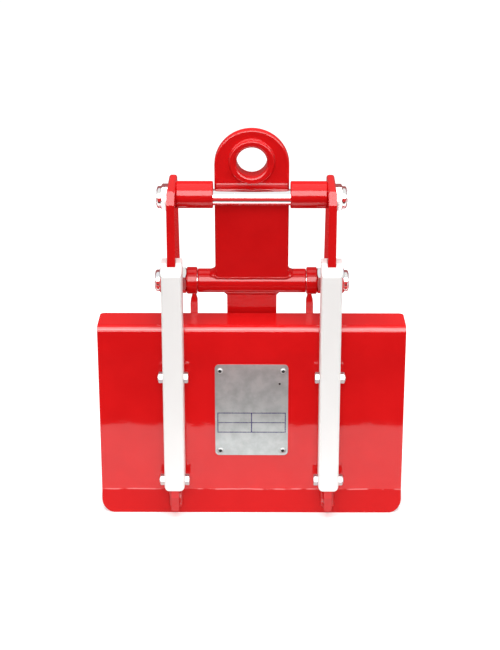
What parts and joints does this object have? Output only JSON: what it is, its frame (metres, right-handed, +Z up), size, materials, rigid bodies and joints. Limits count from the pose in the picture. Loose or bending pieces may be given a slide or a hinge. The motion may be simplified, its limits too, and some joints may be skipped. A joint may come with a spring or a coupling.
{
  "type": "plate lifting clamp",
  "caption": "Red steel clamp for lifting slabs: a leaning lifting eye on a pivot between white-covered arms, and a rear jaw on parallel links that closes towards the front jaw.",
  "frame": {"origin": "middle of the clamp's footprint on the ground that both jaws' lips stand on", "axes": "+Z up, +Y from the front jaw towards the rear jaw, +X to the right seen from the front"},
  "size_m": [0.31, 0.11, 0.3979],
  "materials": {
    "red_paint": "glossy powder coat",
    "white_plastic": "matte",
    "chrome": "polished",
    "zinc": "bright zinc plating",
    "aluminium": "brushed",
    "rubber": "matte",
    "bronze": "turned"
  },
  "bodies": {
    "frame": {"front_plate": "red_paint", "left_arm": "red_paint", "right_arm": "red_paint", "front_pad": "rubber", "left_cover": "white_plastic", "right_cover": "white_plastic", "cover_bolts": "zinc", "cover_nuts": "zinc", "top_rod": "chrome", "left_spacer": "red_paint", "right_spacer": "red_paint", "top_nuts": "zinc", "pivot_shaft": "zinc", "pivot_collars": "red_paint", "left_hanger": "red_paint", "right_hanger": "red_paint", "pivot_nuts": "zinc", "pivot_thin_nuts": "zinc", "rating_plate": "aluminium", "plate_rivets": "aluminium", "left_lug": "red_paint", "right_lug": "red_paint", "lug_pins": "zinc", "lug_clips": "zinc"},
    "eye_lever": {"eye_plate": "red_paint", "eye_ring": "red_paint", "pivot_tube": "red_paint", "neck": "red_paint", "pivot_bushes": "bronze"},
    "upper_links": {"left_upper_link": "red_paint", "right_upper_link": "red_paint"},
    "lower_links": {"left_lower_link": "red_paint", "right_lower_link": "red_paint"},
    "rear_jaw": {"rear_plate": "red_paint", "rear_pad": "rubber", "left_rear_rib": "red_paint", "right_rear_rib": "red_paint", "jaw_pins": "zinc", "jaw_clips": "zinc"}
  },
  "joints": [
    {"name": "eye_swing", "type": "hinge", "parent": "frame", "child": "eye_lever", "pos_m": [0, 0.02301, 0.2344], "axis": [-1, 0, 0], "range_deg": [0, 11]},
    {"name": "upper_link_swing", "type": "hinge", "parent": "frame", "child": "upper_links", "pos_m": [0, -0.00299, 0.1838], "axis": [-1, 0, 0], "range_deg": [0, 36]},
    {"name": "lower_link_swing", "type": "hinge", "parent": "frame", "child": "lower_links", "pos_m": [0, -0.00299, 0.1398], "axis": [-1, 0, 0], "range_deg": [0, 36]},
    {"name": "rear_jaw_pivot", "type": "hinge", "parent": "upper_links", "child": "rear_jaw", "pos_m": [0, 0.04399, 0.1667], "axis": [-1, 0, 0], "range_deg": [-36, 0]}
  ],
  "couplings": [
    {"joint": "lower_link_swing", "follows": "upper_link_swing", "ratio": 1},
    {"joint": "rear_jaw_pivot", "follows": "upper_link_swing", "ratio": -1}
  ]
}
